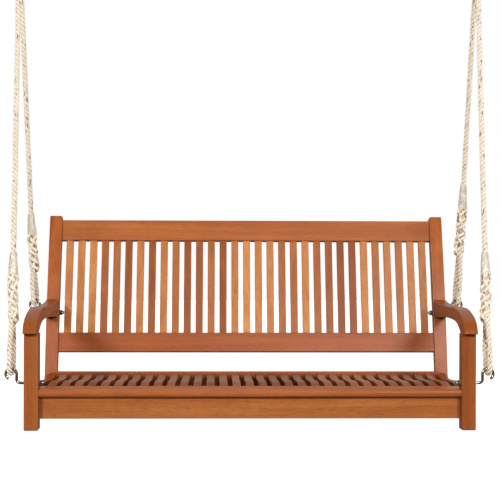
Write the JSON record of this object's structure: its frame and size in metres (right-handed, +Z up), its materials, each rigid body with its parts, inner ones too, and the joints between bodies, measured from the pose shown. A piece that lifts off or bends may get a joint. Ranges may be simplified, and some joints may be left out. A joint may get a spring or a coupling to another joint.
{
  "type": "porch swing seat",
  "caption": "Slatted hardwood bench seat with a raked back and curved arms, hung by hooks and rope from two rings so that it swings.",
  "frame": {"origin": "on the plane under the feet, midway along the bench and midway from the noses of the arms to the backs of the posts", "axes": "+Z up, the front of the seat faces -Y, +X along the bench to the right of someone who looks at its front"},
  "size_m": [1.436, 0.6051, 1.472],
  "materials": {
    "hardwood": "satin",
    "zinc_steel": "satin",
    "rope": "matte",
    "tape": "satin",
    "twine": "matte"
  },
  "bodies": {
    "hangers": {"hanging_ring_left": "zinc_steel", "hanging_ring_right": "zinc_steel"},
    "seat": {"acorn_nuts": "zinc_steel", "arm_left": "hardwood", "arm_right": "hardwood", "back_post_left": "hardwood", "back_post_right": "hardwood", "back_slats": "hardwood", "barrel_nuts": "zinc_steel", "centre_bearer": "hardwood", "frame_bolts": "zinc_steel", "front_apron": "hardwood", "front_leg_left": "hardwood", "front_leg_right": "hardwood", "front_seat_rail": "hardwood", "hook_front_left": "zinc_steel", "hook_front_right": "zinc_steel", "hook_rear_left": "zinc_steel", "hook_rear_right": "zinc_steel", "inner_washers": "zinc_steel", "lower_back_rail": "hardwood", "outer_washers": "zinc_steel", "rear_apron": "hardwood", "rear_seat_rail": "hardwood", "rope_left": "rope", "rope_right": "rope", "seat_slats": "hardwood", "seizing_left": "twine", "seizing_right": "twine", "side_rail_left": "hardwood", "side_rail_right": "hardwood", "tape_front_left": "tape", "tape_front_right": "tape", "tape_rear_left": "tape", "tape_rear_right": "tape", "top_back_rail": "hardwood"}
  },
  "joints": [
    {"name": "seat_swing", "type": "hinge", "parent": "hangers", "child": "seat", "pos_m": [0, 0.01847, 1.41], "axis": [1, 0, 0], "range_deg": [-20, 20]}
  ]
}
